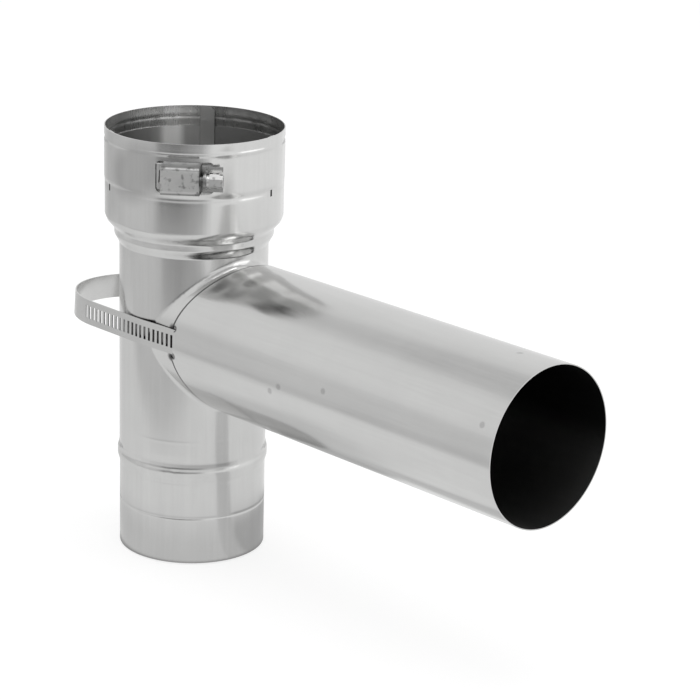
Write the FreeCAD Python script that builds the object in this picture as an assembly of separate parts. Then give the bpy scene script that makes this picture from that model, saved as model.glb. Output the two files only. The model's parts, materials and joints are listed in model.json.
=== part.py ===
import FreeCAD, Part
import math
import os

# Stove pipe tee for a 76 mm flue: an upright body with an enlarged top collar and a drawn side
# neck, a loose snout that slips over the neck, and a perforated strap that ties the snout round
# the back of the body. Two worm-drive clamps of one design: one grips a liner in the collar
# through a window, the other takes up the strap from inside the snout.
# Frame: origin at the centre of the bottom mouth, +Z up the body, +X out along the snout.

Vec = FreeCAD.Vector
UP = Vec(0, 0, 1)
ORIGIN = Vec(0, 0, 0)

# Sheet stock
body_sheet = 0.5
snout_sheet = 0.5
band_sheet = 0.6
housing_sheet = 0.7
retainer_sheet = 0.5
layer_gap = 0.1

# Upright body, radii are of the outer face and heights are above the bottom rim
spigot_radius = 38.1
body_over_spigot = 0.14
bead_height = 50.2
bead_half_length = 5.2
bead_rise = 0.9
flare_above_neck = 5.97
flare_length = 4.5
ring_over_body = 2.56
ring_length = 3.3
shoulder_length = 5.7
collar_length = 46.8
collar_over_spigot = 7.75
skirt_inset = 0.25
step_below_rim = 26.7
step_length = 1.2
crease_below_rim = 5.6
crease_depth = 0.4
crease_half_length = 1.6
ring_bend = 1.5
shoulder_bend = 4.0
bend_flat = math.radians(21)

# Drawn neck on the body's side
neck_height = 120.33
neck_fillet = 4.0
neck_end = 50.0

# Window and slots in the collar
window_azimuth = -46.5
window_width = 29.1
window_height = 16.2
window_corner = 2.6
slot_width = 1.6
slot_height = 3.4
slot_below_rim = 29.0

# Worm-drive band and strap
band_width = 12.7
perforation_pitch = 3.175
perforation_width = 1.5
perforation_length = 6.5
band_slant = 4.0
strap_slant = -4.0

# Worm screw, along its own axis from the middle of the housing
thread_radius = 3.8
thread_depth = 0.9
screw_tip = -9.2
worm_end = 7.9
journal_radius = 2.3
flange_start = 11.3
flange_thickness = 1.3
flange_radius = 3.9
boss_radius = 3.0
hex_start = 14.2
hex_end = 20.9
hex_across_flats = 6.35
driver_slot_width = 1.2
driver_slot_depth = 1.8
thread_to_band = 0.2
journal_clearance = 0.05

# Clamp housing and its saddle
housing_start = -9.6
housing_end = 9.5
housing_corner = 2.5
housing_lip = 2.4
housing_side_gap = 0.1
roof_clearance = 0.25
saddle_start = -11.2
saddle_sheet = 0.7
saddle_gap = 0.05

# Collar clamp
clamp_azimuth = -48.0
clamp_below_rim = 16.9
tail_length = 20.3
tongue_end = -36.0
joggle_end = 21.0
joggle_sweep = 12.0
band_perforated_to = -75.0
band_to_wall = 0.1

# Strips that keep the band in the collar
retainer_azimuths = (17.0, 131.5, -109.0)
retainer_width = 7.7
retainer_below_rim = 0.2
retainer_bend = 1.0
retainer_jog = 1.6
retainer_mitre = 2.2
retainer_to_band = 0.15
retainer_to_crease = 0.05
retainer_past_slot = 1.8
tab_clearance = 0.15

# Snout
snout_over_spigot = 0.98
snout_end = 248.56
snout_roll = 4.0
saddle_cut_over_snout = 12.6
crown_past_body = 6.96
strap_window_margin = 0.7
strap_window_depth = 2.65
relief_radius = 1.05

# Strap path in plan, before the snout's roll about its own axis
strap_from_body = 1.46
loop_past_body = 33.26
loop_lean = 9.0
near_bend_share = 1.058
far_bend_share = 0.907
strap_narrowing = 6.0
entry_before_notch = 1.0
dip_past_neck = 6.0
dip_length = 22.0
far_end_past_neck = 42.0
clamp_past_neck = 56.0
strap_gentle_bend = 12.0
strap_to_wall = 0.1
strap_to_neck = 0.25
perforated_from = -44.0

# Worked out from the values above
half_band = band_width / 2
body_radius = spigot_radius + body_over_spigot
ring_radius = body_radius + ring_over_body
collar_radius = spigot_radius + collar_over_spigot
skirt_radius = collar_radius - skirt_inset
snout_radius = spigot_radius + snout_over_spigot
snout_inner = snout_radius - snout_sheet
strap_outer_face = math.sqrt((snout_inner - strap_to_wall) ** 2 - half_band ** 2)
neck_radius = strap_outer_face - band_sheet - strap_to_neck
body_top = neck_height + neck_radius + flare_above_neck
ring_bottom = body_top + flare_length
ring_top = ring_bottom + ring_length
skirt_bottom = ring_top + shoulder_length
total_height = skirt_bottom + collar_length
step_height = total_height - step_below_rim
slot_centre = total_height - slot_below_rim
clamp_height = total_height - clamp_below_rim
collar_inner = collar_radius - body_sheet
band_radius = collar_inner - band_to_wall - band_sheet / 2
band_outer_face = band_radius + band_sheet / 2
tongue_radius = band_radius - band_sheet - layer_gap
screw_height = thread_to_band + thread_radius
housing_half = half_band + housing_side_gap + housing_sheet
housing_roof = screw_height + thread_radius + roof_clearance + housing_sheet
one_layer = band_sheet
two_layers = band_sheet * 2 + layer_gap
strap_base_depth = one_layer + saddle_sheet + housing_sheet + 2 * saddle_gap
strap_clamp_face = math.sqrt((snout_inner - saddle_gap) ** 2 - housing_half ** 2) - strap_base_depth
strap_clamp_centre = neck_end + clamp_past_neck
strap_side = body_radius + strap_from_body
saddle_cut_radius = snout_radius + saddle_cut_over_snout
saddle_centre = body_radius + crown_past_body - saddle_cut_radius
notch_end = saddle_centre + math.sqrt(saddle_cut_radius ** 2 - snout_radius ** 2) + strap_window_depth
strap_entry = notch_end - entry_before_notch


def unit(azimuth):
    """Horizontal unit vector at an azimuth in degrees."""
    angle = math.radians(azimuth)
    return Vec(math.cos(angle), math.sin(angle), 0)


def rounded_line(points, radii, shift):
    """Edges of a flat line through the points with rounded corners, moved to its left by shift."""
    edges = []
    start = None
    for i in range(len(points) - 1):
        ahead = (points[i + 1] - points[i]).normalize()
        left = Vec(-ahead.y, ahead.x, 0)
        if start is None:
            start = points[i] + left * shift
        if i == len(points) - 2:
            edges.append(Part.makeLine(start, points[-1] + left * shift))
            break
        after = (points[i + 2] - points[i + 1]).normalize()
        after_left = Vec(-after.y, after.x, 0)
        turn = math.atan2(ahead.cross(after).z, ahead.dot(after))
        side = math.copysign(1, turn)
        reach = radii[i] * math.tan(abs(turn) / 2)
        arrive = points[i + 1] - ahead * reach
        centre = arrive + left * side * radii[i]
        middle = centre - (left + after_left).normalize() * side * (radii[i] - side * shift)
        leave = points[i + 1] + after * reach
        edges.append(Part.makeLine(start, arrive + left * shift))
        edges.append(Part.Arc(arrive + left * shift, middle, leave + after_left * shift).toShape())
        start = leave + after_left * shift
    return edges


def face_between(one_side, other_side):
    """Face between two open chains of edges that run the same way."""
    first = Part.Wire(one_side)
    second = Part.Wire(other_side)
    caps = [
        Part.makeLine(one_side[0].firstVertex().Point, other_side[0].firstVertex().Point),
        Part.makeLine(one_side[-1].lastVertex().Point, other_side[-1].lastVertex().Point),
    ]
    return Part.Face(Part.Wire(Part.__sortEdges__(first.Edges + second.Edges + caps)))


def strip_face(points, radii, thickness):
    """Face of a bent strip whose middle line runs through the points."""
    half = thickness / 2
    return face_between(rounded_line(points, radii, half), rounded_line(points, radii, -half))


def flat_line(points, radii, shift):
    """Points of a line whose bends are short flats, moved to its left by shift; radius 0 is sharp."""
    line = []
    for before, corner, after, radius in zip(points, points[1:], points[2:], radii):
        ahead = (corner - before).normalize()
        onward = (after - corner).normalize()
        left = Vec(-ahead.y, ahead.x, 0)
        onward_left = Vec(-onward.y, onward.x, 0)
        if not line:
            line.append(points[0] + left * shift)
        turn = math.atan2(ahead.cross(onward).z, ahead.dot(onward))
        if radius == 0:
            line.append(corner + (left + onward_left).normalize() * shift / math.cos(turn / 2))
            continue
        side = math.copysign(1, turn)
        centre = corner - ahead * radius * math.tan(abs(turn) / 2) + left * side * radius
        flats = math.ceil(abs(turn) / 2 / bend_flat)
        for i in range(flats + 1):
            share = i / flats
            spoke = FreeCAD.Rotation(UP, math.degrees(turn * share)).multVec(left * side)
            line.append(centre - spoke * (radius - side * shift))
    line.append(points[-1] + onward_left * shift)
    return line


def flat_face(points, radii, thickness):
    """Face of a strip with flat bends whose middle line runs through the points."""
    outline = flat_line(points, radii, thickness / 2) + flat_line(points, radii, -thickness / 2)[::-1]
    return Part.Face(Part.makePolygon(outline + outline[:1]))


def upright(face, low, high):
    """A plan-view face raised between two heights."""
    return face.translated(Vec(0, 0, low)).extrude(Vec(0, 0, high - low))


def turned(face):
    """A face drawn with x as radius and y as height, turned about the body's axis."""
    standing = face.copy()
    standing.rotate(ORIGIN, Vec(1, 0, 0), 90)
    return standing.revolve(ORIGIN, UP, 360)


def box_around(centre_x, centre_y, centre_z, size_x, size_y, size_z):
    """Box given by its centre and sizes."""
    corner = Vec(centre_x - size_x / 2, centre_y - size_y / 2, centre_z - size_z / 2)
    return Part.makeBox(size_x, size_y, size_z, corner)


def at_azimuth(shape, azimuth):
    """Turn a shape that was drawn at azimuth 0 to its place on the body."""
    return shape.rotated(ORIGIN, UP, azimuth)


# Upright body

def body_outline():
    """Outer outline of the body from the bottom rim to the top rim, and its bend radii."""
    crease = total_height - crease_below_rim
    corners = [
        (spigot_radius, 0, 0),
        (spigot_radius, bead_height - bead_half_length, 0),
        (body_radius + bead_rise, bead_height - bead_half_length / 3, 0),
        (body_radius + bead_rise, bead_height + bead_half_length / 3, 0),
        (body_radius, bead_height + bead_half_length, 0),
        (body_radius, body_top, ring_bend),
        (ring_radius, ring_bottom, ring_bend),
        (ring_radius, ring_top, ring_bend),
        (skirt_radius, skirt_bottom, shoulder_bend),
        (skirt_radius, step_height - step_length, 0),
        (collar_radius, step_height + step_length, 0),
        (collar_radius, crease - crease_half_length, 0),
        (collar_radius - crease_depth, crease, 0),
        (collar_radius, crease + crease_half_length, 0),
        (collar_radius, total_height, 0),
    ]
    points = [Vec(radius, height, 0) for radius, height, bend in corners]
    bends = [bend for radius, height, bend in corners[1:-1]]
    return points, bends


def body_solid(shift, neck_wall, fillet):
    """Filled body with its filleted neck, drawn in by shift from the outer face."""
    points, bends = body_outline()
    side = flat_line(points, bends, shift)
    axis_low = Vec(0, side[0].y, 0)
    axis_high = Vec(0, side[-1].y, 0)
    filled = turned(Part.Face(Part.makePolygon([axis_low] + side + [axis_high, axis_low])))
    neck = Part.makeCylinder(neck_radius - neck_wall, neck_end, Vec(0, 0, neck_height), Vec(1, 0, 0))
    joined = filled.fuse(neck).removeSplitter()
    root = [
        edge for edge in joined.Edges
        if edge.BoundBox.XMin > 0 and edge.BoundBox.XMax < body_radius + 1
        and edge.BoundBox.ZMin > neck_height - neck_radius - 1
        and edge.BoundBox.ZMax < neck_height + neck_radius + 1
    ]
    return joined.makeFillet(fillet, root)


def tee_body():
    """One drawn shell: spigot, bead, body, shoulder, collar and side neck."""
    outside = body_solid(0, 0, neck_fillet)
    inside = body_solid(body_sheet, body_sheet, neck_fillet + body_sheet)
    shell = outside.cut(inside)
    window = box_around(collar_radius, 0, clamp_height, 4 * window_corner, window_width, window_height)
    upright_edges = [e for e in window.Edges if abs(e.tangentAt(e.FirstParameter).x) > 0.9]
    window = window.makeFillet(window_corner, upright_edges)
    shell = shell.cut(at_azimuth(window, window_azimuth))
    for azimuth in retainer_azimuths:
        slot = box_around(collar_radius, 0, slot_centre, 4 * window_corner, slot_width, slot_height)
        shell = shell.cut(at_azimuth(slot, azimuth))
    return shell


# Worm-drive clamp, drawn lying along X with the band's face to the screw at y = 0

def clamp_screw():
    """Worm screw without its thread: slotted hex head, flange and journal for the end tab."""
    root_radius = thread_radius - thread_depth
    core = [
        (screw_tip, 0),
        (screw_tip, root_radius),
        (worm_end, root_radius),
        (worm_end, journal_radius),
        (flange_start, journal_radius),
        (flange_start, flange_radius),
        (flange_start + flange_thickness, flange_radius),
        (flange_start + flange_thickness, boss_radius),
        (hex_start, boss_radius),
        (hex_start, 0),
    ]
    profile = Part.makePolygon([Vec(x, y, 0) for x, y in core + core[:1]])
    screw = Part.Face(profile).revolve(ORIGIN, Vec(1, 0, 0), 360)
    corner = hex_across_flats / 2 / math.cos(math.radians(30))
    corners = []
    for i in range(7):
        angle = math.radians(60 * i + 30)
        corners.append(Vec(hex_start, corner * math.cos(angle), corner * math.sin(angle)))
    head = Part.Face(Part.makePolygon(corners)).extrude(Vec(hex_end - hex_start, 0, 0))
    chamfer = (corner - hex_across_flats / 2) / 2
    dome = Part.makeCone(corner + hex_end - hex_start, corner - chamfer, hex_end - hex_start,
                         Vec(hex_start, 0, 0), Vec(1, 0, 0))
    head = head.common(dome)
    slot = box_around(hex_end, 0, 0, 2 * driver_slot_depth, driver_slot_width, 4 * corner)
    return screw.fuse(head.cut(slot)).translated(Vec(0, screw_height, 0))


def layer(top, bottom, curve):
    """Slab between two depths under the band's face, flat or bent to the band's outer radius."""
    reach = 2 * housing_end
    if curve is None:
        return box_around(0, -(top + bottom) / 2, 0, 2 * reach, bottom - top, 2 * reach)
    centre = Vec(0, -curve, -reach)
    outer = Part.makeCylinder(curve - top, 2 * reach, centre)
    return outer.cut(Part.makeCylinder(curve - bottom, 2 * reach, centre))


def clamp_saddle(layers, curve):
    """Saddle plate that lies under the band inside the housing."""
    top = layers + saddle_gap
    width = 2 * (housing_half - housing_sheet - saddle_gap)
    middle = (saddle_start + housing_end) / 2
    keep = box_around(middle, 0, 0, housing_end - saddle_start, 4 * housing_roof, width)
    return layer(top, top + saddle_sheet, curve).common(keep)


def clamp_housing(layers, curve):
    """Folded housing: roof, side walls, lips under the saddle and an end tab round the journal."""
    length = housing_end - housing_start
    middle = (housing_start + housing_end) / 2
    lip_top = layers + saddle_sheet + 2 * saddle_gap
    lip_bottom = lip_top + housing_sheet
    sink = lip_bottom if curve is None else 2 * lip_bottom + housing_sheet
    blocks = []
    for wall in (0, housing_sheet):
        block = box_around(middle, (housing_roof - sink) / 2 - wall, 0,
                           length + 4 * wall, housing_roof + sink, 2 * (housing_half - wall))
        corners = [
            edge for edge in block.Edges
            if abs(edge.tangentAt(edge.FirstParameter).x) > 0.9 and edge.BoundBox.YMin > 0
        ]
        blocks.append(block.makeFillet(housing_corner - wall, corners))
    outer, inner = blocks
    floor = layer(lip_bottom, 2 * sink + housing_roof, curve)
    walls = outer.cut(inner).cut(floor)
    between_lips = box_around(middle, 0, 0, 2 * length, 4 * sink, 2 * (housing_half - housing_lip))
    lips = layer(lip_top, lip_bottom, curve).common(outer).cut(between_lips)
    tab_low = layer_gap
    tab = box_around(housing_end - housing_sheet / 2, (tab_low + housing_roof) / 2, 0,
                     housing_sheet, housing_roof - tab_low, 2 * housing_half).common(outer)
    hole = Part.makeCylinder(journal_radius + journal_clearance, 4 * housing_sheet,
                             Vec(housing_end - 2 * housing_sheet, screw_height, 0), Vec(1, 0, 0))
    return walls.fuse([lips, tab]).cut(hole).removeSplitter()


def onto_collar(shape):
    """Carry a clamp part from its own frame to the collar's window."""
    placed = shape.rotated(ORIGIN, Vec(1, 0, 0), 180).rotated(ORIGIN, UP, clamp_azimuth + 90)
    return placed.translated(unit(clamp_azimuth) * band_outer_face + UP * clamp_height)


def onto_snout(shape):
    """Roll a part drawn about the snout's axis and lift it to the neck."""
    return shape.rotated(ORIGIN, Vec(1, 0, 0), -snout_roll).translated(Vec(0, 0, neck_height))


def into_snout(shape):
    """Carry a clamp part from its own frame to the strap inside the snout."""
    return onto_snout(shape.translated(Vec(strap_clamp_centre, -strap_clamp_face, 0)))


# Band inside the collar

def joggle(start, sweep, radius, drop):
    """Smooth step of a band edge towards the axis while it runs back by sweep degrees."""
    steps = 4
    points = []
    for i in range(steps + 1):
        share = i / steps
        ease = share * share * (3 - 2 * share)
        points.append(unit(start - sweep * share) * (radius - drop * ease))
    curve = Part.BSplineCurve()
    leave = unit(start).cross(UP)
    arrive = unit(start - sweep).cross(UP)
    curve.interpolate(Points=points, InitialTangent=leave, FinalTangent=arrive)
    return curve.toShape()


def band_side(offset):
    """One face line of the band in plan, tail first, drawn with the housing at azimuth 0."""
    drop = band_radius - tongue_radius
    main = band_radius + offset
    inner = main - drop
    joggle_from = joggle_end + joggle_sweep
    turn = Part.Arc(unit(0) * main, unit((joggle_from - 360) / 2) * main, unit(joggle_from) * main)
    tongue = Part.Arc(unit(joggle_end) * inner, unit((joggle_end + tongue_end) / 2) * inner,
                      unit(tongue_end) * inner)
    return [
        Part.makeLine(Vec(main, tail_length, 0), Vec(main, 0, 0)),
        turn.toShape(),
        joggle(joggle_from, joggle_sweep, main, drop),
        tongue.toShape(),
    ]


def perforation(x, y, slant):
    """Cutter for one slanted slot through a band that runs along X."""
    slot = box_around(0, 0, 0, perforation_width, 8 * band_sheet, perforation_length)
    return slot.rotated(ORIGIN, Vec(0, 1, 0), slant).translated(Vec(x, y, 0))


def collar_band():
    """Band inside the collar: tail, full turn, joggle and tongue under the housing."""
    face = face_between(band_side(band_sheet / 2), band_side(-band_sheet / 2))
    band = upright(face, -half_band, half_band)
    cutters = []
    for i in range(int(tail_length / perforation_pitch)):
        cutter = perforation(perforation_pitch * (i + 0.5), 0, band_slant)
        cutters.append(cutter.rotated(ORIGIN, UP, 90).translated(Vec(band_radius, 0, 0)))
    step = math.degrees(perforation_pitch / band_radius)
    for i in range(int(-band_perforated_to / step)):
        cutter = perforation(0, 0, band_slant).rotated(ORIGIN, UP, 90)
        cutter = cutter.translated(Vec(band_outer_face + band_sheet, 0, 0))
        cutters.append(at_azimuth(cutter, -step * (i + 0.5)))
    return at_azimuth(band.cut(cutters), clamp_azimuth).translated(UP * clamp_height)


def band_retainer(azimuth):
    """Strip from the rim down over the band, with a tab in the collar's slot."""
    top = collar_inner - crease_depth - retainer_to_crease - retainer_sheet / 2
    middle = band_radius - band_sheet / 2 - retainer_to_band - retainer_sheet / 2
    foot = skirt_radius - body_sheet - retainer_to_crease - retainer_sheet / 2
    rim = total_height - retainer_below_rim
    band_top = clamp_height + half_band
    band_bottom = clamp_height - half_band
    line = [
        Vec(top, rim, 0),
        Vec(middle, band_top + retainer_jog, 0),
        Vec(middle, band_bottom - retainer_jog, 0),
        Vec(foot, slot_centre + slot_height / 2 + retainer_bend, 0),
        Vec(foot, slot_centre - slot_height / 2 - retainer_past_slot, 0),
    ]
    face = flat_face(line, [0, retainer_bend, retainer_bend], retainer_sheet)
    face.rotate(ORIGIN, Vec(1, 0, 0), 90)
    spread = math.degrees(retainer_width / collar_inner)
    strip = face.revolve(ORIGIN, UP, spread).rotated(ORIGIN, UP, -spread / 2)
    edge = -retainer_width / 2
    cut = retainer_mitre
    wedge = Part.makePolygon([
        Vec(0, edge - cut, rim - 2 * cut),
        Vec(0, edge + 2 * cut, rim + cut),
        Vec(0, edge - cut, rim + cut),
        Vec(0, edge - cut, rim - 2 * cut),
    ])
    strip = strip.cut(Part.Face(wedge).extrude(Vec(2 * top, 0, 0)))
    tab_end = skirt_radius - tab_clearance
    tab = box_around((foot + tab_end) / 2, 0, slot_centre, tab_end - foot,
                     slot_width - 2 * tab_clearance, slot_height - 2 * tab_clearance)
    return at_azimuth(strip.fuse(tab), azimuth)


# Snout and its strap

def snout_pipe():
    """Plain pipe with a saddle-cut edge and a relieved notch over the strap on each side."""
    pipe = Part.makeCylinder(snout_radius, snout_end, ORIGIN, Vec(1, 0, 0))
    pipe = pipe.cut(Part.makeCylinder(snout_inner, snout_end, ORIGIN, Vec(1, 0, 0)))
    saddle = Part.makeCylinder(saddle_cut_radius, 4 * snout_radius, Vec(saddle_centre, 0, -2 * snout_radius))
    notch_half = half_band + strap_window_margin
    notch = box_around(notch_end - strap_entry / 2, 0, 0, strap_entry, 4 * snout_radius, 2 * notch_half)
    cutters = [saddle, notch]
    for side in (-1, 1):
        cutters.append(Part.makeCylinder(relief_radius, 4 * snout_radius,
                                         Vec(notch_end, -2 * snout_radius, side * notch_half), Vec(0, 1, 0)))
    return onto_snout(pipe.cut(cutters))


def snout_strap():
    """Strap from the clamp inside the snout, out round the body and back to the far wall."""
    near_mid = strap_outer_face - band_sheet / 2
    clamp_mid = strap_clamp_face + band_sheet / 2
    dip_start = neck_end + dip_past_neck
    loop_near = -body_radius - loop_past_body
    line = [
        Vec(strap_clamp_centre + tail_length, -clamp_mid, 0),
        Vec(dip_start + dip_length, -clamp_mid, 0),
        Vec(dip_start, -near_mid, 0),
        Vec(strap_entry, -near_mid, 0),
        Vec(strap_narrowing, -strap_side, 0),
        Vec(loop_near, -strap_side, 0),
        Vec(loop_near - loop_lean, strap_side, 0),
        Vec(strap_narrowing, strap_side, 0),
        Vec(strap_entry, near_mid, 0),
        Vec(neck_end + far_end_past_neck, near_mid, 0),
    ]
    gentle = strap_gentle_bend
    loop_bends = [strap_side * near_bend_share, strap_side * far_bend_share]
    bends = [gentle, gentle, gentle, gentle] + loop_bends + [gentle, gentle]
    strap = upright(strip_face(line, bends, band_sheet), -half_band, half_band)
    first = strap_clamp_centre + tail_length - perforation_pitch
    count = int((first - perforated_from) / perforation_pitch)
    cutters = []
    for i in range(count):
        x = first - i * perforation_pitch
        cutters.append(perforation(x, -strap_side if x < strap_entry / 2 else -near_mid, strap_slant))
    return onto_snout(strap.cut(cutters))


parts = {
    "tee_body": tee_body(),
    "collar_band": collar_band(),
    "band_clamp_housing": onto_collar(clamp_housing(two_layers, band_outer_face)),
    "band_clamp_saddle": onto_collar(clamp_saddle(two_layers, band_outer_face)),
    "band_clamp_screw": onto_collar(clamp_screw()),
    "snout_pipe": snout_pipe(),
    "snout_strap": snout_strap(),
    "strap_clamp_housing": into_snout(clamp_housing(one_layer, None)),
    "strap_clamp_saddle": into_snout(clamp_saddle(one_layer, None)),
    "strap_clamp_screw": into_snout(clamp_screw()),
}
for number, azimuth in enumerate(retainer_azimuths, start=1):
    parts["band_retainer_%d" % number] = band_retainer(azimuth)

os.makedirs("parts", exist_ok=True)
for name, shape in parts.items():
    shape.exportStep("parts/%s.step" % name)
    print(name, len(shape.Solids), shape.isValid(), round(shape.Volume, 1))
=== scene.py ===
import json
import math
import bpy
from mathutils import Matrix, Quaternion, Vector


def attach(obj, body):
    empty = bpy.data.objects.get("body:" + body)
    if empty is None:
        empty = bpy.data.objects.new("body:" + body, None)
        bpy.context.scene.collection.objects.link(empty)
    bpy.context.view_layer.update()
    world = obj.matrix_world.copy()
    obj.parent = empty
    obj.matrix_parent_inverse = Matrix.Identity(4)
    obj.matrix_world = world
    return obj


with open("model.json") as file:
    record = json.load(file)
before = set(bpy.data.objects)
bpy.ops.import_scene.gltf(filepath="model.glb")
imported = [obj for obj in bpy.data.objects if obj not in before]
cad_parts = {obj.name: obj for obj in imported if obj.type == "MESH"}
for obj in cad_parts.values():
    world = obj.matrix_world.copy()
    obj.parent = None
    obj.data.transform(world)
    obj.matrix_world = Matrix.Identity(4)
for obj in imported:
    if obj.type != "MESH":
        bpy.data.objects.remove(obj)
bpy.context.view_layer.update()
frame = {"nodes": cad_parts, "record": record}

# Lengths are in metres, bearings in degrees round the body's axis unless their name says radians.
# A pair named as a rise or a fall gives the values between which a soft mask grows or fades.

# Camera: its place and direction were fitted to the photograph
camera_place = Vector((0.9527, -0.8039, 0.5053))
camera_target = Vector((0.0986, 0.0182, 0.1250))
camera_roll = math.radians(1.604)
sensor_width = 36.0
focal_pixels = 2513.0
image_pixels = 700

# Tent: greys by height of the direction, from straight down at 0 to straight up at 1
sky_stops = ((0.0, 0.80), (0.5, 0.84), (0.65, 0.92), (0.75, 0.92), (0.838, 0.90),
             (0.865, 0.70), (0.88, 0.62), (0.92, 0.80), (1.0, 1.05))
dim_patch_grey = 0.56
dim_patch_ahead_rise = (0.30, 0.50)
dim_patch_low_rise = (0.45, 0.55)
dim_patch_high_fall = (0.85, 0.75)
window_grey = 1.5
window_bearings = ((-180, 0.0), (-2, 0.0), (6, 1.0), (24, 1.0), (32, 0.0), (180, 0.0))
window_low_rise = (0.20, 0.26)
window_high_fall = (0.44, 0.38)
room_top = 0.15
room_blend = 0.06
room_tones = ((-180, 0.60), (-150, 0.68), (-132, 0.76), (-108, 0.74), (-92, 0.66), (-84, 0.34),
              (-62, 0.24), (-32, 0.48), (-18, 1.02), (110, 1.0), (145, 0.80), (180, 0.60))

# Table, and the greys that the steel mirrors from it, with painted shadows in them
floor_half = 6.0
floor_drop = 0.0005
floor_glow = 0.69
floor_diffuse = 0.37
sheet_tones = ((-180, 0.78), (-160, 0.83), (-140, 0.88), (-110, 0.92), (110, 0.92), (150, 0.86), (180, 0.78))
sheet_edge = 0.48
sheet_edge_blend = 0.01
# Painted shadows on the table as the steel mirrors it: round the body, under the snout, beside the body and
# at its foot
near_shade = 0.2
near_shade_rise = (0.12, 0.06)
under_snout_shadow_grey = 0.66
under_snout_radians_rise = (-0.14, -0.10)
under_snout_radians_fall = (0.26, 0.20)
under_snout_reach_fall = (0.40, 0.34)
beside_body_shadow_grey = 0.52
beside_body_radians_rise = (0.15, 0.3)
beside_body_reach_fall = (0.098, 0.078)
foot_shadow_grey = 0.45
foot_rise = (0.0425, 0.0392)
front_stops = ((0.0, 0.92), (0.245, 0.92), (0.255, 0.65), (0.5, 0.74), (1.0, 0.80))
front_rise = (0.2, 0.25)
far_sheet_rise = (0.525, 0.545)
far_sheet_fall = (0.60, 0.575)

# Steel in general
warmth = 0.99
grain_noise = {"scale": 900.0, "detail": 4.0, "roughness": 0.65}
band_noise = {"scale": 130.0, "detail": 3.0, "roughness": 0.6}
smudge_noise = {"scale": 26.0, "detail": 4.0, "roughness": 0.6}
wave_noise = {"scale": 22.0, "detail": 1.0, "roughness": 0.4}
grime_noise = {"scale": 300.0, "detail": 2.0, "roughness": 0.6}
wave_evenness = 0.3
grain_depth = 0.0005
wave_depth = 0.002
roughness_spread = 0.08
polish_strength = 0.5
polish_turn = 0.25
inner_face_limit = -0.003
# Painted shade that darkens the steel in narrow gaps, from occlusion
occlusion_shade_reach = 0.0045
occlusion_shade_samples = 8
occlusion_shade_stops = ((0.0, 0.12), (0.45, 0.7), (0.75, 1.0))
weld_gap = 0.000002
soft_bend_angle = 30
any_way = (1, 1, 1)

# Body: rolled lines as height, half width and rise, and painted highlight and shade by bearing on the inner
# faces
body_lines = ((0.2181, 0.0011, 0.00036), (0.1958, 0.0017, -0.00048), (0.0659, 0.0008, 0.00003),
              (0.0569, 0.0010, -0.00004), (0.0526, 0.0024, -0.0007), (0.0440, 0.0012, -0.00012),
              (0.0246, 0.0007, -0.0002))
inner_line_reversal = 1.5
inner_light_and_shade_tones = ((-180, 0.90), (-160, 0.80), (-140, 0.85), (0, 0.95), (85, 0.62), (126, 0.55), (134, 0.80),
               (148, 1.10), (153, 1.55), (159, 1.50), (166, 1.00), (180, 0.90))
band_light_and_shade_tones = ((-180, 0.42), (-160, 0.36), (-140, 0.50), (0, 0.80), (85, 0.42), (126, 0.38), (134, 0.60),
              (146, 0.70), (151, 1.60), (160, 1.60), (165, 0.70), (172, 0.46), (180, 0.42))
rim_rise = (0.2175, 0.2190)
rim_light_gain = 0.25
collar_dark_patch = ((0.0098, -0.0447, 0.2096), (0.0045, -0.0455, 0.2050))
collar_dark_patch_size = 0.019
collar_dark_patch_shade = 0.74
# Painted dark reflection in the bead's fold, strongest at the front
fold_height = 0.0531
fold_fall = (0.0018, 0.0006)
fold_shade_bearings = ((-180, 0.0), (-85, 0.0), (-60, 0.6), (-44, 1.0), (-14, 1.0), (-2, 0.0), (180, 0.0))
fold_shade = 0.68
slot_radius = 0.0450
black = 0.05

# Snout
snout_axis_height = 0.12033
snout_roll = math.radians(4.0)
saddle_centre = -0.00648
saddle_radius = 0.05168
# Painted shade along the snout's saddle-cut edge
saddle_shade_width = 0.0008
saddle_shade = 0.22
# Painted shade inside the snout, darker above its axis
snout_inner_shade = 0.10
snout_inner_gain = 0.35
snout_inner_rise = (0.004, -0.016)
relief_spots = ((0.0300, -0.0378, 0.1301), (0.0300, -0.0388, 0.1159))
relief_spot_size = 0.0023
relief_backs = ((0.0262, -0.0345, 0.1286), (0.0262, -0.0352, 0.1144))
relief_back_size = 0.0036
weld_marks = ((0.1031, -0.0389, 0.1170), (0.1093, -0.0391, 0.1207), (0.2398, -0.0355, 0.1366),
              (0.2272, 0.0010, 0.1594), (0.1400, -0.0386, 0.1265))
weld_mark_size = 0.0021
weld_mark_shade = 0.76
spot_core = 0.4

# Clamps
grime_rise = (0.50, 0.68)
grime_shade = 0.50
clamp_height = 0.2068
bend_rise = (0.0046, 0.0062)
bend_shade = 0.48
head_gap_bearings = ((-180, 0.0), (-38.2, 0.0), (-36.8, 1.0), (-35.0, 1.0), (-33.6, 0.0), (180, 0.0))
head_gap_shade = 0.40

# Worm thread, along the screw from its joint's anchor
thread_from = -0.0084
thread_to = 0.0075
thread_pitch = 0.003175
thread_root = 0.0028
thread_tip = 0.0038
thread_half_foot = 0.00085
thread_half_crest = 0.0004
thread_steps = 24
thread_run_out = 6


def link(tree, source, target):
    """Join two sockets of a node tree."""
    tree.links.new(source, target)


def node(tree, kind, **settings):
    """Add a node and set its plain properties."""
    made = tree.nodes.new(kind)
    for name, value in settings.items():
        setattr(made, name, value)
    return made


def ramp(tree, source, stops):
    """Colour ramp through grey stops given as (position, value)."""
    made = node(tree, "ShaderNodeValToRGB")
    elements = made.color_ramp.elements
    while len(elements) < len(stops):
        elements.new(0.5)
    for element, (position, value) in zip(elements, stops):
        element.position = position
        element.color = (value, value, value, 1)
    link(tree, source, made.inputs["Fac"])
    return made.outputs["Color"]


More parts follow.
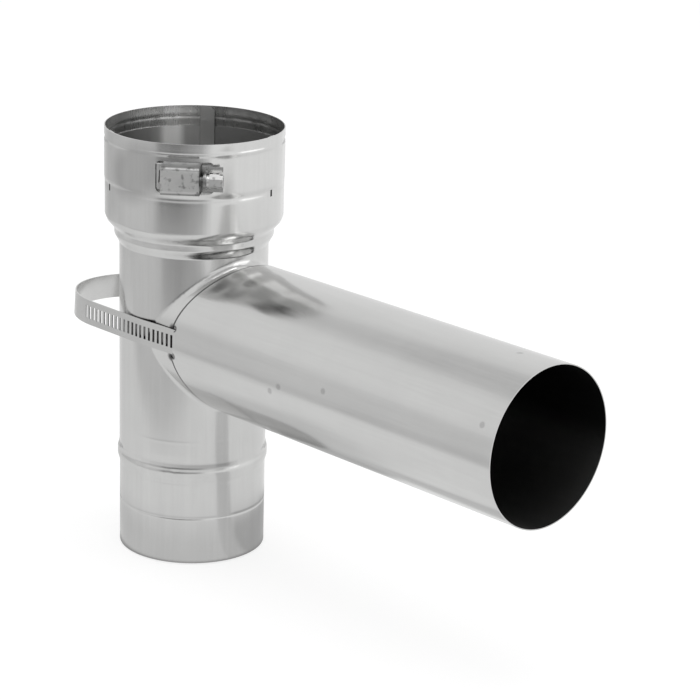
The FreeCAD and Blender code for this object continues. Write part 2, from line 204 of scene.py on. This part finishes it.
def noise(tree, vector, scale, detail, roughness):
    """Noise texture read at a vector."""
    made = node(tree, "ShaderNodeTexNoise")
    made.inputs["Scale"].default_value = scale
    made.inputs["Detail"].default_value = detail
    made.inputs["Roughness"].default_value = roughness
    link(tree, vector, made.inputs["Vector"])
    return made.outputs["Fac"]


def combine(tree, operation, *values):
    """Math node on sockets or numbers."""
    made = node(tree, "ShaderNodeMath", operation=operation)
    for socket, value in zip(made.inputs, values):
        if isinstance(value, (int, float)):
            socket.default_value = value
        else:
            link(tree, value, socket)
    return made.outputs[0]


def parts_of(tree, vector):
    """X, Y and Z of a vector socket, as a dictionary of sockets."""
    split = node(tree, "ShaderNodeSeparateXYZ")
    link(tree, vector, split.inputs[0])
    return split.outputs


def object_point(tree):
    """Place on the piece, as a vector socket."""
    return node(tree, "ShaderNodeTexCoord").outputs["Object"]


def object_place(tree):
    """X, Y and Z of the place on the piece."""
    return parts_of(tree, object_point(tree))


def stretched(tree, scale):
    """Object coordinates stretched by a scale for each axis."""
    mapping = node(tree, "ShaderNodeMapping")
    mapping.inputs["Scale"].default_value = scale
    link(tree, object_point(tree), mapping.inputs["Vector"])
    return mapping.outputs["Vector"]


def length_of(tree, first, second):
    """Length of a flat vector from its two parts."""
    squares = [combine(tree, "MULTIPLY", part, part) for part in (first, second)]
    return combine(tree, "SQRT", combine(tree, "ADD", *squares))


def facing_in(tree, axis, height):
    """1 on the surfaces that look towards a pipe's axis, 0 on its outside."""
    place = object_place(tree)
    slope = parts_of(tree, node(tree, "ShaderNodeTexCoord").outputs["Normal"])
    far = "X" if axis == "Z" else "Z"
    off = combine(tree, "SUBTRACT", place[far], height)
    dot = combine(tree, "ADD", combine(tree, "MULTIPLY", off, slope[far]),
                  combine(tree, "MULTIPLY", place["Y"], slope["Y"]))
    return combine(tree, "LESS_THAN", dot, inner_face_limit)


def soft_step(tree, value, span):
    """Smooth rise from 0 to 1 as a value goes through a span."""
    made = node(tree, "ShaderNodeMapRange", interpolation_type="SMOOTHSTEP")
    made.inputs["From Min"].default_value, made.inputs["From Max"].default_value = span
    link(tree, value, made.inputs["Value"])
    return made.outputs["Result"]


def product(tree, first, *others):
    """All masks multiplied."""
    for mask in others:
        first = combine(tree, "MULTIPLY", first, mask)
    return first


def blend_grey(tree, share, first, second):
    """Mix two greys or colours by a share."""
    mix = node(tree, "ShaderNodeMixRGB")
    link(tree, share, mix.inputs["Fac"])
    for name, value in (("Color1", first), ("Color2", second)):
        if isinstance(value, (int, float)):
            mix.inputs[name].default_value = (value, value, value, 1)
        else:
            link(tree, value, mix.inputs[name])
    return mix.outputs["Color"]


def tone_round(tree, place, tones):
    """Grey read from a list of (degrees, value) at the bearing of a place or direction."""
    turn = combine(tree, "ARCTAN2", place["Y"], place["X"])
    bearing = combine(tree, "MULTIPLY_ADD", turn, 0.5 / math.pi, 0.5)
    return ramp(tree, bearing, [((degrees + 180) / 360, value) for degrees, value in tones])


def darkened(tree, level, mask, factor):
    """Multiply a grey level by a factor where the mask is 1."""
    mix = node(tree, "ShaderNodeMix", data_type="FLOAT")
    link(tree, mask, mix.inputs["Factor"])
    link(tree, level, mix.inputs["A"])
    link(tree, combine(tree, "MULTIPLY", level, factor), mix.inputs["B"])
    return mix.outputs["Result"]


def occlusion_shade(tree):
    """Grey multiplier that falls in narrow gaps: painted shade from occlusion."""
    occlusion = node(tree, "ShaderNodeAmbientOcclusion", samples=occlusion_shade_samples)
    occlusion.inputs["Distance"].default_value = occlusion_shade_reach
    return ramp(tree, occlusion.outputs["AO"], occlusion_shade_stops)


def grey_colour(tree, level):
    """Colour socket from a grey level, a touch warm."""
    colour = node(tree, "ShaderNodeCombineColor")
    link(tree, level, colour.inputs["Red"])
    link(tree, level, colour.inputs["Green"])
    link(tree, combine(tree, "MULTIPLY", level, warmth), colour.inputs["Blue"])
    return colour.outputs["Color"]


def relief(tree, height, strength, depth, normal=None):
    """Bump by a height over another normal."""
    made = node(tree, "ShaderNodeBump")
    made.inputs["Strength"].default_value = strength
    made.inputs["Distance"].default_value = depth
    link(tree, height, made.inputs["Height"])
    if normal is not None:
        link(tree, normal, made.inputs["Normal"])
    return made.outputs["Normal"]


def rolled_lines(tree, lines, normal):
    """Shallow ridges and grooves rolled round the body, weaker and reversed on its inside."""
    height = object_place(tree)["Z"]
    total = None
    for centre, width, rise in lines:
        off = combine(tree, "DIVIDE", combine(tree, "SUBTRACT", height, centre), width)
        bell = combine(tree, "EXPONENT", product(tree, off, off, -1))
        lift = combine(tree, "MULTIPLY", bell, rise)
        total = lift if total is None else combine(tree, "ADD", total, lift)
    inside = combine(tree, "MULTIPLY", facing_in(tree, "Z", 0.0), inner_line_reversal)
    total = combine(tree, "MULTIPLY", total, combine(tree, "SUBTRACT", 1, inside))
    return relief(tree, total, 1.0, 1.0, normal)


def steel(name, grey, rough, grain, streak, smudge, bump, sway, marks=(), lines=(), polish_axis=None,
          dull_inside=None):
    """Rolled stainless: streaks along the grain, smudges, slight waviness and painted shade in narrow gaps.
    """
    material = bpy.data.materials.new(name)
    material.use_nodes = True
    tree = material.node_tree
    shader = tree.nodes["Principled BSDF"]
    shader.inputs["Metallic"].default_value = 1.0
    fine = noise(tree, stretched(tree, grain), **grain_noise)
    bands = noise(tree, stretched(tree, grain), **band_noise)
    broad = noise(tree, stretched(tree, any_way), **smudge_noise)
    evened = tuple(wave_evenness + (1 - wave_evenness) * part for part in grain)
    waves = noise(tree, stretched(tree, evened), **wave_noise)
    level = combine(tree, "MULTIPLY_ADD", fine, streak, grey - streak)
    level = combine(tree, "MULTIPLY_ADD", bands, streak, level)
    level = combine(tree, "MULTIPLY_ADD", broad, smudge, level)
    level = combine(tree, "SUBTRACT", level, smudge / 2)
    for mask, factor in (make(tree) for make in marks):
        level = darkened(tree, level, mask, factor)
    level = combine(tree, "MULTIPLY", level, occlusion_shade(tree))
    link(tree, grey_colour(tree, level), shader.inputs["Base Color"])
    roughness = combine(tree, "MULTIPLY_ADD", fine, roughness_spread, rough - roughness_spread / 2)
    roughness = combine(tree, "MULTIPLY_ADD", broad, smudge, roughness)
    roughness = combine(tree, "SUBTRACT", roughness, smudge / 2)
    if dull_inside:
        axis, height, gain = dull_inside
        inside = facing_in(tree, axis, height)
        roughness = combine(tree, "ADD", roughness, combine(tree, "MULTIPLY", inside, gain))
    link(tree, roughness, shader.inputs["Roughness"])
    normal = relief(tree, fine, bump, grain_depth)
    normal = relief(tree, waves, sway, wave_depth, normal)
    if lines:
        normal = rolled_lines(tree, lines, normal)
    link(tree, normal, shader.inputs["Normal"])
    if polish_axis:
        shader.inputs["Anisotropic"].default_value = polish_strength
        shader.inputs["Anisotropic Rotation"].default_value = polish_turn
        around = node(tree, "ShaderNodeTangent", direction_type="RADIAL", axis=polish_axis)
        link(tree, around.outputs["Tangent"], shader.inputs["Tangent"])
    return material


def dress(material, *names):
    """Give CAD nodes a material and smooth shading across their soft bends."""
    for name in names:
        obj = frame["nodes"][name]
        obj.data.materials.clear()
        obj.data.materials.append(material)
        weld = obj.modifiers.new("weld", "WELD")
        weld.merge_threshold = weld_gap
        obj.data.shade_smooth()
        split = obj.modifiers.new("edges", "EDGE_SPLIT")
        split.split_angle = math.radians(soft_bend_angle)
        split.use_edge_sharp = False
        weigh = obj.modifiers.new("weigh", "WEIGHTED_NORMAL")
        weigh.keep_sharp = True


def make_camera():
    """Camera at the photograph's place."""
    data = bpy.data.cameras.new("camera")
    data.sensor_width = sensor_width
    data.lens = sensor_width * focal_pixels / image_pixels
    camera = bpy.data.objects.new("camera", data)
    bpy.context.scene.collection.objects.link(camera)
    camera.rotation_mode = "QUATERNION"
    look = (camera_target - camera_place).to_track_quat("-Z", "Y")
    camera.rotation_quaternion = look @ Quaternion((0, 0, 1), camera_roll)
    camera.location = camera_place
    bpy.context.scene.camera = camera


def tent_grey(tree, direction):
    """Grey of the tent in a direction, with the darker room under it."""
    up = direction["Z"]
    grey = ramp(tree, combine(tree, "MULTIPLY_ADD", up, 0.5, 0.5), sky_stops)
    dim = product(tree, soft_step(tree, direction["X"], dim_patch_ahead_rise),
                  soft_step(tree, up, dim_patch_low_rise), soft_step(tree, up, dim_patch_high_fall))
    grey = blend_grey(tree, dim, grey, dim_patch_grey)
    window = product(tree, tone_round(tree, direction, window_bearings),
                     soft_step(tree, up, window_low_rise), soft_step(tree, up, window_high_fall))
    grey = blend_grey(tree, window, grey, window_grey)
    low = soft_step(tree, up, (room_top + room_blend, room_top - room_blend))
    return blend_grey(tree, low, grey, tone_round(tree, direction, room_tones))


def make_world():
    """Pale tent: white to the camera, softly graded for light and reflections."""
    world = bpy.data.worlds.new("tent")
    world.use_nodes = True
    bpy.context.scene.world = world
    tree = world.node_tree
    tree.nodes.clear()
    direction = parts_of(tree, node(tree, "ShaderNodeTexCoord").outputs["Generated"])
    seen = node(tree, "ShaderNodeLightPath").outputs["Is Camera Ray"]
    glow = node(tree, "ShaderNodeBackground")
    link(tree, blend_grey(tree, seen, tent_grey(tree, direction), 1.0), glow.inputs["Color"])
    out = node(tree, "ShaderNodeOutputWorld")
    link(tree, glow.outputs["Background"], out.inputs["Surface"])


def floor_pattern(tree):
    """Brightness of the table in reflections: white sheet, its painted shadows and the room beyond its edge.
    """
    place = parts_of(tree, node(tree, "ShaderNodeNewGeometry").outputs["Position"])
    distance = length_of(tree, place["X"], place["Y"])
    turn = combine(tree, "ARCTAN2", place["Y"], place["X"])
    ahead = combine(tree, "MULTIPLY", place["Y"], -1)
    shade = combine(tree, "MULTIPLY", soft_step(tree, distance, near_shade_rise), near_shade)
    near = blend_grey(tree, shade, tone_round(tree, place, sheet_tones), 0.0)
    under = product(tree, soft_step(tree, turn, under_snout_radians_rise),
                    soft_step(tree, turn, under_snout_radians_fall),
                    soft_step(tree, distance, under_snout_reach_fall))
    near = blend_grey(tree, under, near, under_snout_shadow_grey)
    beside = product(tree, soft_step(tree, turn, beside_body_radians_rise),
                     soft_step(tree, distance, beside_body_reach_fall))
    near = blend_grey(tree, beside, near, beside_body_shadow_grey)
    near = blend_grey(tree, soft_step(tree, distance, foot_rise), near, foot_shadow_grey)
    sheet = blend_grey(tree, soft_step(tree, ahead, front_rise), near, ramp(tree, ahead, front_stops))
    beyond = soft_step(tree, distance, (sheet_edge - sheet_edge_blend, sheet_edge + sheet_edge_blend))
    far_sheet = product(tree, soft_step(tree, distance, far_sheet_rise),
                        soft_step(tree, distance, far_sheet_fall))
    beyond = combine(tree, "MULTIPLY", beyond, combine(tree, "SUBTRACT", 1, far_sheet))
    return blend_grey(tree, beyond, sheet, tone_round(tree, place, room_tones))


def floor_material():
    """White table with a soft shadow, and with its own painted brightness and painted shadows in reflections.
    """
    material = bpy.data.materials.new("floor_white")
    material.use_nodes = True
    tree = material.node_tree
    tree.nodes.clear()
    diffuse = node(tree, "ShaderNodeBsdfDiffuse")
    diffuse.inputs["Color"].default_value = (floor_diffuse, floor_diffuse, floor_diffuse, 1)
    glow = node(tree, "ShaderNodeEmission")
    glow.inputs["Color"].default_value = (1, 1, 1, 1)
    glow.inputs["Strength"].default_value = floor_glow
    seen = node(tree, "ShaderNodeAddShader")
    link(tree, diffuse.outputs[0], seen.inputs[0])
    link(tree, glow.outputs[0], seen.inputs[1])
    mirrored = node(tree, "ShaderNodeEmission")
    mirrored.inputs["Strength"].default_value = 1.0
    link(tree, floor_pattern(tree), mirrored.inputs["Color"])
    mix = node(tree, "ShaderNodeMixShader")
    link(tree, node(tree, "ShaderNodeLightPath").outputs["Is Glossy Ray"], mix.inputs["Fac"])
    link(tree, seen.outputs[0], mix.inputs[1])
    link(tree, mirrored.outputs[0], mix.inputs[2])
    out = node(tree, "ShaderNodeOutputMaterial")
    link(tree, mix.outputs[0], out.inputs["Surface"])
    return material


def make_floor():
    """White floor that keeps a soft shadow and shows as a pale sheet in the steel."""
    mesh = bpy.data.meshes.new("floor")
    corners = [(x * floor_half, y * floor_half, 0) for x, y in ((-1, -1), (1, -1), (1, 1), (-1, 1))]
    mesh.from_pydata(corners, [], [(0, 1, 2, 3)])
    floor = bpy.data.objects.new("floor", mesh)
    bpy.context.scene.collection.objects.link(floor)
    floor.location.z = -floor_drop
    mesh.materials.append(floor_material())


def soft_box(name, place, target, size, power):
    """Rectangular lamp at a place, turned to a target."""
    data = bpy.data.lights.new(name, "AREA")
    data.shape = "RECTANGLE"
    data.size, data.size_y = size
    data.energy = power
    lamp = bpy.data.objects.new(name, data)
    bpy.context.scene.collection.objects.link(lamp)
    lamp.location = place
    lamp.rotation_mode = "QUATERNION"
    lamp.rotation_quaternion = (Vector(target) - Vector(place)).to_track_quat("-Z", "Y")


def make_lamps():
    """Two large soft boxes, overhead and to the right."""
    soft_box("overhead", place=(0.2, -0.05, 1.3), target=(0.1, 0, 0.1), size=(1.0, 0.45), power=3.4)
    soft_box("right_side", place=(0.9, 0.7, 0.7), target=(0.05, 0, 0.15), size=(0.9, 0.9), power=2.0)


def spots(tree, places, size):
    """Soft round spots at some places."""
    point = object_point(tree)
    nearest = None
    for place in places:
        away = node(tree, "ShaderNodeVectorMath", operation="DISTANCE")
        link(tree, point, away.inputs[0])
        away.inputs[1].default_value = place
        far = away.outputs["Value"]
        nearest = far if nearest is None else combine(tree, "MINIMUM", nearest, far)
    return soft_step(tree, nearest, (size, size * spot_core))


def off_height(tree, centre):
    """Distance up or down from a height."""
    return combine(tree, "ABSOLUTE", combine(tree, "SUBTRACT", object_place(tree)["Z"], centre))


# Marks: each gives a mask and the factor by which the grey changes under it


def inside_of_snout(tree):
    """Inner face of the snout, almost black in the photograph."""
    # Painted shade: the inner face is darkened, most above the axis
    height = combine(tree, "SUBTRACT", object_place(tree)["Z"], snout_axis_height)
    lower = soft_step(tree, height, snout_inner_rise)
    shade = combine(tree, "MULTIPLY_ADD", lower, snout_inner_gain, snout_inner_shade)
    return facing_in(tree, "X", snout_axis_height), shade


def inside_of_body(tree):
    """Inner face of the collar and body, with painted highlight and shade in tones that change round the
    wall, and painted lighter near the rim.
    """
    place = object_place(tree)
    above = combine(tree, "MULTIPLY", soft_step(tree, place["Z"], rim_rise), rim_light_gain)
    tone = tone_round(tree, place, inner_light_and_shade_tones)
    return facing_in(tree, "Z", 0.0), combine(tree, "MULTIPLY", tone, combine(tree, "ADD", above, 1))


def inside_of_band(tree):
    """Inner face of the collar's band, in painted shade with one painted highlight run."""
    return facing_in(tree, "Z", 0.0), tone_round(tree, object_place(tree), band_light_and_shade_tones)


def tab_in_slot(tree):
    """End of a strip's tab, painted black as the shade in the collar's slot."""
    place = object_place(tree)
    return combine(tree, "GREATER_THAN", length_of(tree, place["X"], place["Y"]), slot_radius), black


def saddle_line(tree):
    """Painted shade along the snout's saddle-cut edge, where the gap to the neck falls dark; the line leans
    with the snout's roll.
    """
    place = object_place(tree)
    ahead = combine(tree, "SUBTRACT", place["X"], saddle_centre)
    height = combine(tree, "SUBTRACT", place["Z"], snout_axis_height)
    across = combine(tree, "SUBTRACT", combine(tree, "MULTIPLY", place["Y"], math.cos(snout_roll)),
                     combine(tree, "MULTIPLY", height, math.sin(snout_roll)))
    reach = length_of(tree, ahead, across)
    return combine(tree, "LESS_THAN", reach, saddle_radius + saddle_shade_width), saddle_shade


def relief_hole_shade(tree):
    """Painted black shade in the relief holes at the corners of the snout's notch."""
    return spots(tree, relief_spots, relief_spot_size), black


def behind_relief(tree):
    """Painted black shade on the neck behind the corners of the snout's notch."""
    return spots(tree, relief_backs, relief_back_size), black


def snout_welds(tree):
    """Small dull marks on the snout."""
    return spots(tree, weld_marks, weld_mark_size), weld_mark_shade


def collar_darkened(tree):
    """Soft darker patch beside the collar's window."""
    return spots(tree, collar_dark_patch, collar_dark_patch_size), collar_dark_patch_shade


def fold_shaded(tree):
    """Painted dark reflection along the front of the bead's fold."""
    front = tone_round(tree, object_place(tree), fold_shade_bearings)
    line = soft_step(tree, off_height(tree, fold_height), fold_fall)
    return combine(tree, "MULTIPLY", front, line), fold_shade


def shaded_bends(tree):
    """Painted shade on the bends along the top and bottom of the collar clamp's housing."""
    return soft_step(tree, off_height(tree, clamp_height), bend_rise), bend_shade


def head_gap(tree):
    """Painted shade in the gap between the collar clamp's housing and its screw's head."""
    return tone_round(tree, object_place(tree), head_gap_bearings), head_gap_shade


def fingered(tree):
    """Uneven grime over a clamp."""
    patches = noise(tree, stretched(tree, any_way), **grime_noise)
    return soft_step(tree, patches, grime_rise), grime_shade


def dress_body():
    """Drawn body with its collar, neck, bead and spigot."""
    dress(steel("drawn_body_steel", grey=0.61, rough=0.18, grain=(1, 1, 0.03), streak=0.06, smudge=0.10,
                bump=0.015, sway=0.18, marks=(inside_of_body, behind_relief, collar_darkened, fold_shaded),
                lines=body_lines, polish_axis="Z", dull_inside=("Z", 0.0, 0.10)),
          "tee_body")


def dress_snout():
    """Loose snout."""
    dress(steel("snout_steel", grey=0.61, rough=0.165, grain=(0.03, 1, 1), streak=0.05, smudge=0.09,
                bump=0.03, sway=0.14, marks=(inside_of_snout, saddle_line, relief_hole_shade, snout_welds),
                dull_inside=("X", snout_axis_height, 0.22)),
          "snout_pipe")


def dress_collar_band():
    """Band inside the collar."""
    dress(steel("band_steel", grey=0.60, rough=0.20, grain=(1, 1, 0.2), streak=0.05, smudge=0.10,
                bump=0.02, sway=0.06, marks=(inside_of_band,), polish_axis="Z",
                dull_inside=("Z", 0.0, 0.26)),
          "collar_band")


def dress_strap():
    """Perforated strap."""
    dress(steel("strap_steel", grey=0.60, rough=0.20, grain=(0.05, 1, 1), streak=0.05, smudge=0.10,
                bump=0.02, sway=0.06),
          "snout_strap")


def dress_clamps():
    """Pressed housings and saddles of both clamps."""
    dress(steel("clamp_steel", grey=0.66, rough=0.38, grain=(0.5, 0.5, 0.5), streak=0.05, smudge=0.25,
                bump=0.25, sway=0.3, marks=(fingered, shaded_bends, head_gap)),
          "band_clamp_housing", "band_clamp_saddle", "strap_clamp_housing", "strap_clamp_saddle")


def dress_retainers():
    """Strips that keep the band in the collar."""
    dress(steel("retainer_steel", grey=0.56, rough=0.34, grain=(1, 1, 0.05), streak=0.10, smudge=0.10,
                bump=0.05, sway=0.06, marks=(tab_in_slot,)),
          "band_retainer_1", "band_retainer_2", "band_retainer_3")


def dress_screws():
    """Both worm screws and their threads."""
    screw_steel = steel("screw_steel", grey=0.58, rough=0.42, grain=(0.3, 0.3, 0.3), streak=0.06, smudge=0.20,
                        bump=0.10, sway=0.06, marks=(fingered, head_gap))
    dress(screw_steel, "band_clamp_screw", "strap_clamp_screw")
    worm_thread("band_worm_thread", "band_screw_turn", "band_screw", screw_steel)
    worm_thread("strap_worm_thread", "strap_screw_turn", "strap_screw", screw_steel)


def worm_thread(name, joint_name, body, material):
    """Right-handed helical thread on a worm screw's core."""
    joint = next(row for row in frame["record"]["behaviour"]["joints"] if row["name"] == joint_name)
    axis = Vector(joint["axis"]).normalized()
    turn = axis.to_track_quat("X", "Z").to_matrix()
    count = int((thread_to - thread_from) / thread_pitch * thread_steps)
    profile = ((-thread_half_foot, thread_root), (-thread_half_crest, thread_tip),
               (thread_half_crest, thread_tip), (thread_half_foot, thread_root))
    verts = []
    for i in range(count + 1):
        angle = 2 * math.pi * i / thread_steps
        start = thread_from + thread_pitch * i / thread_steps
        taper = min(1, i / thread_run_out, (count - i) / thread_run_out)
        for along, radius in profile:
            reach = thread_root + (radius - thread_root) * taper
            verts.append(turn @ Vector((start + along, reach * math.cos(angle), reach * math.sin(angle))))
    faces = []
    for i in range(count):
        for k in range(len(profile) - 1):
            first = i * len(profile) + k
            faces.append((first, first + 1, first + 1 + len(profile), first + len(profile)))
    mesh = bpy.data.meshes.new(name)
    mesh.from_pydata(verts, [], faces)
    mesh.materials.append(material)
    mesh.shade_smooth()
    thread = bpy.data.objects.new(name, mesh)
    bpy.context.scene.collection.objects.link(thread)
    thread.location = Vector(joint["pos_m"])
    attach(thread, body)


bpy.context.scene.view_settings.view_transform = "Standard"
make_camera()
make_world()
make_floor()
make_lamps()
dress_body()
dress_snout()
dress_collar_band()
dress_strap()
dress_clamps()
dress_screws()
dress_retainers()
